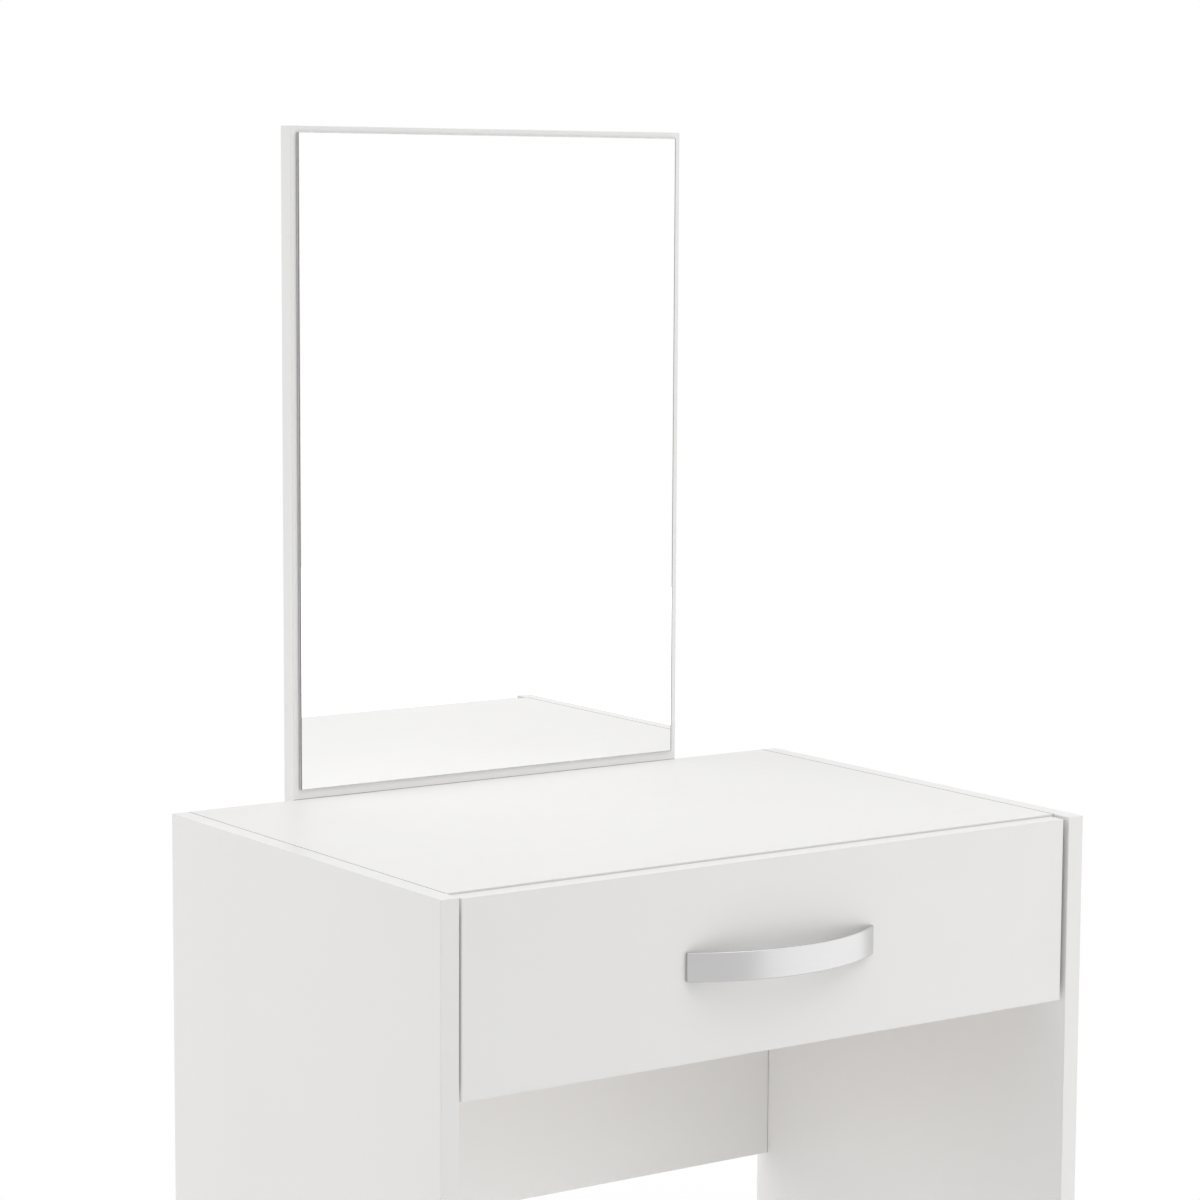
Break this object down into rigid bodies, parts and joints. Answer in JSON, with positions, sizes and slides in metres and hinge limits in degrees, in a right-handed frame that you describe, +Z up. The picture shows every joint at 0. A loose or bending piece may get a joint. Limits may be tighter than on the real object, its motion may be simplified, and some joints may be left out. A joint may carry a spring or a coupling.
{
  "type": "dressing table",
  "caption": "White board dressing table with panel sides, a drawer on roller runners with a satin bow handle, and an upright frameless mirror on a board behind the top.",
  "frame": {"origin": "on the floor, in the middle of the outer box, which runs from the front of the handle to the rear of the mirror board", "axes": "+Z up, +X to the right as seen from the front, +Y to the rear, so the drawer opens along -Y"},
  "size_m": [0.6, 0.4416, 1.29],
  "materials": {
    "white_board": "satin",
    "white_hardboard": "satin",
    "mirror": "polished",
    "foam_tape": "matte",
    "satin_metal": "satin",
    "white_enamel": "gloss",
    "roller_nylon": "satin",
    "zinc_steel": "satin",
    "cam_zinc": "matte",
    "beech": "matte",
    "glide_plastic": "matte"
  },
  "bodies": {
    "carcass": {"left_side_panel": "white_board", "right_side_panel": "white_board", "top_panel": "white_board", "back_panel": "white_board", "mirror_board": "white_board", "mirror_glass": "mirror", "mirror_tape_strips": "foam_tape", "mirror_board_screws": "zinc_steel", "carcass_cam_bolts": "zinc_steel", "carcass_cam_discs": "cam_zinc", "carcass_dowels": "beech", "cabinet_left_runner": "white_enamel", "cabinet_right_runner": "white_enamel", "cabinet_runner_screws": "zinc_steel", "cabinet_roller_axles": "zinc_steel", "floor_glides": "glide_plastic", "glide_nails": "zinc_steel"},
    "drawer": {"drawer_front": "white_board", "drawer_left_side": "white_board", "drawer_right_side": "white_board", "drawer_back": "white_board", "drawer_bottom": "white_hardboard", "bow_handle": "satin_metal", "handle_screws": "zinc_steel", "drawer_left_runner": "white_enamel", "drawer_right_runner": "white_enamel", "drawer_runner_screws": "zinc_steel", "drawer_roller_axles": "zinc_steel", "drawer_back_screws": "zinc_steel", "drawer_bottom_screws": "zinc_steel", "drawer_cam_bolts": "zinc_steel", "drawer_cam_discs": "cam_zinc", "drawer_dowels": "beech"},
    "cabinet_left_roller": {"cabinet_left_roller": "roller_nylon"},
    "cabinet_right_roller": {"cabinet_right_roller": "roller_nylon"},
    "drawer_left_roller": {"drawer_left_roller": "roller_nylon"},
    "drawer_right_roller": {"drawer_right_roller": "roller_nylon"}
  },
  "joints": [
    {"name": "drawer_slide", "type": "slide", "parent": "carcass", "child": "drawer", "axis": [0, -1, 0], "range_m": [0, 0.26]},
    {"name": "cabinet_left_roller_spin", "type": "hinge", "parent": "carcass", "child": "cabinet_left_roller", "pos_m": [-0.27875, -0.16175, 0.6217], "axis": [1, 0, 0], "continuous": true},
    {"name": "cabinet_right_roller_spin", "type": "hinge", "parent": "carcass", "child": "cabinet_right_roller", "pos_m": [0.27875, -0.16175, 0.6217], "axis": [1, 0, 0], "continuous": true},
    {"name": "drawer_left_roller_spin", "type": "hinge", "parent": "drawer", "child": "drawer_left_roller", "pos_m": [-0.27875, 0.15825, 0.6217], "axis": [1, 0, 0], "continuous": true},
    {"name": "drawer_right_roller_spin", "type": "hinge", "parent": "drawer", "child": "drawer_right_roller", "pos_m": [0.27875, 0.15825, 0.6217], "axis": [1, 0, 0], "continuous": true}
  ],
  "couplings": [
    {"joint": "cabinet_left_roller_spin", "follows": "drawer_slide", "rad_per_m": 111.11},
    {"joint": "cabinet_right_roller_spin", "follows": "drawer_slide", "rad_per_m": 111.11},
    {"joint": "drawer_left_roller_spin", "follows": "drawer_slide", "rad_per_m": 111.11},
    {"joint": "drawer_right_roller_spin", "follows": "drawer_slide", "rad_per_m": 111.11}
  ]
}
